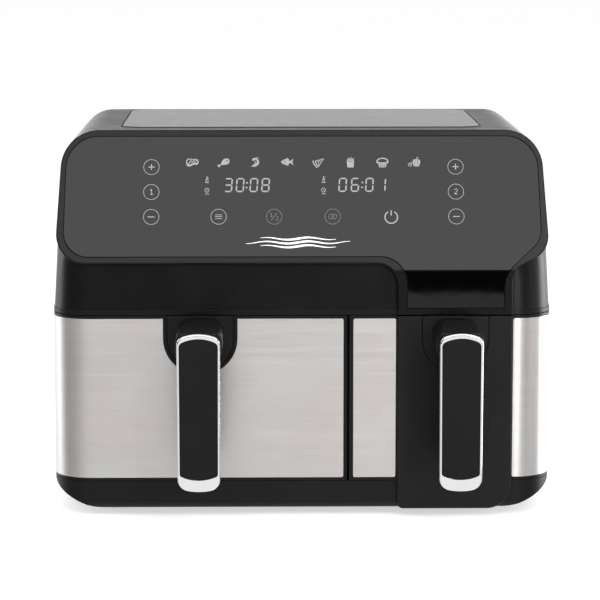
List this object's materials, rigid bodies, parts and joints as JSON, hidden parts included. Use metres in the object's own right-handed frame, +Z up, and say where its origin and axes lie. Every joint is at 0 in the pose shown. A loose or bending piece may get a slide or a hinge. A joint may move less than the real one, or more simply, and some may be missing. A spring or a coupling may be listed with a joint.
{
  "type": "air fryer",
  "caption": "Twin-drawer air fryer with a wide and a narrow drawer, a sloping touch panel and pull-out frying pans with lift-out plates.",
  "frame": {"origin": "centre of the bounding box's footprint, on the surface the feet stand on", "axes": "+Z up; the drawers and the panel face -Y; +X is to the right of someone facing the front"},
  "size_m": [0.3936, 0.364, 0.3039],
  "materials": {
    "body_plastic": "satin black with a fine texture",
    "base_plastic": "matt black",
    "frame_plastic": "matt black, moulded",
    "band_plastic": "satin black",
    "steel_skin": "brushed across, satin",
    "bezel_plastic": "dark grey semi-gloss",
    "panel_gloss": "dark gloss with printed light grey symbols",
    "top_plastic": "dark semi-gloss, with a faint grey cast",
    "rubber": "matt",
    "screw_steel": "blackened steel",
    "board": "circuit board",
    "switch_plastic": "moulded",
    "chamber_steel": "plain rolled sheet",
    "heater_steel": "dull stainless",
    "motor_steel": "plated steel",
    "fan_metal": "pressed sheet",
    "handle_plastic": "matt black",
    "chrome_trim": "polished",
    "panel_print": "printed and lit symbols and digits on the panel",
    "non_stick": "dark non-stick coating"
  },
  "bodies": {
    "housing": {"base_tray": "base_plastic", "chassis": "frame_plastic", "control_panel": "panel_gloss", "cord_inlet": "rubber", "display_board": "board", "feet": "rubber", "head_housing": "body_plastic", "housing_screws": "screw_steel", "left_chamber": "chamber_steel", "left_drawer_switch": "switch_plastic", "left_heater": "heater_steel", "left_heater_guard": "heater_steel", "left_motor": "motor_steel", "left_motor_bracket": "chamber_steel", "left_side_panel": "frame_plastic", "left_side_skin": "steel_skin", "panel_bezel": "bezel_plastic", "power_board": "board", "rear_cover": "body_plastic", "right_chamber": "chamber_steel", "right_drawer_switch": "switch_plastic", "right_heater": "heater_steel", "right_heater_guard": "heater_steel", "right_motor": "motor_steel", "right_motor_bracket": "chamber_steel", "right_side_panel": "frame_plastic", "right_side_skin": "steel_skin", "top_panel": "top_plastic"},
    "left_drawer": {"left_drawer_front": "body_plastic", "left_inner_cover": "frame_plastic", "left_handle_plate": "band_plastic", "left_handle_core": "handle_plastic", "left_handle_trim": "chrome_trim", "left_handle_insert": "handle_plastic", "left_pan": "non_stick", "left_drawer_skin": "steel_skin"},
    "right_drawer": {"right_drawer_front": "body_plastic", "right_inner_cover": "frame_plastic", "right_handle_plate": "band_plastic", "right_handle_core": "handle_plastic", "right_handle_trim": "chrome_trim", "right_handle_insert": "handle_plastic", "right_pan": "non_stick", "right_drawer_inner_skin": "steel_skin", "right_drawer_outer_skin": "steel_skin", "right_drawer_band": "band_plastic"},
    "left_plate": {"left_crisper_plate": "non_stick", "left_plate_bumpers": "rubber"},
    "right_plate": {"right_crisper_plate": "non_stick", "right_plate_bumpers": "rubber"},
    "left_fan": {"left_motor_shaft": "heater_steel", "left_hot_air_fan": "fan_metal", "left_cooling_fan": "fan_metal"},
    "right_fan": {"right_motor_shaft": "heater_steel", "right_hot_air_fan": "fan_metal", "right_cooling_fan": "fan_metal"},
    "left_plunger": {"left_switch_plunger": "switch_plastic"},
    "right_plunger": {"right_switch_plunger": "switch_plastic"}
  },
  "joints": [
    {"name": "left_drawer_slide", "type": "slide", "parent": "housing", "child": "left_drawer", "axis": [0, -1, 0], "range_m": [0, 0.26]},
    {"name": "left_plate_lift", "type": "slide", "parent": "left_drawer", "child": "left_plate", "axis": [0, 0, 1], "range_m": [0, 0.08]},
    {"name": "left_fan_spin", "type": "hinge", "parent": "housing", "child": "left_fan", "pos_m": [-0.0742, 0.03, 0.2], "axis": [0, 0, 1], "continuous": true},
    {"name": "left_switch_press", "type": "slide", "parent": "housing", "child": "left_plunger", "axis": [0, 1, 0], "range_m": [0, 0.0015], "stiffness_N_per_m": 200},
    {"name": "right_drawer_slide", "type": "slide", "parent": "housing", "child": "right_drawer", "axis": [0, -1, 0], "range_m": [0, 0.26]},
    {"name": "right_plate_lift", "type": "slide", "parent": "right_drawer", "child": "right_plate", "axis": [0, 0, 1], "range_m": [0, 0.08]},
    {"name": "right_fan_spin", "type": "hinge", "parent": "housing", "child": "right_fan", "pos_m": [0.1102, 0.03, 0.2], "axis": [0, 0, 1], "continuous": true},
    {"name": "right_switch_press", "type": "slide", "parent": "housing", "child": "right_plunger", "axis": [0, 1, 0], "range_m": [0, 0.0015], "stiffness_N_per_m": 200}
  ]
}
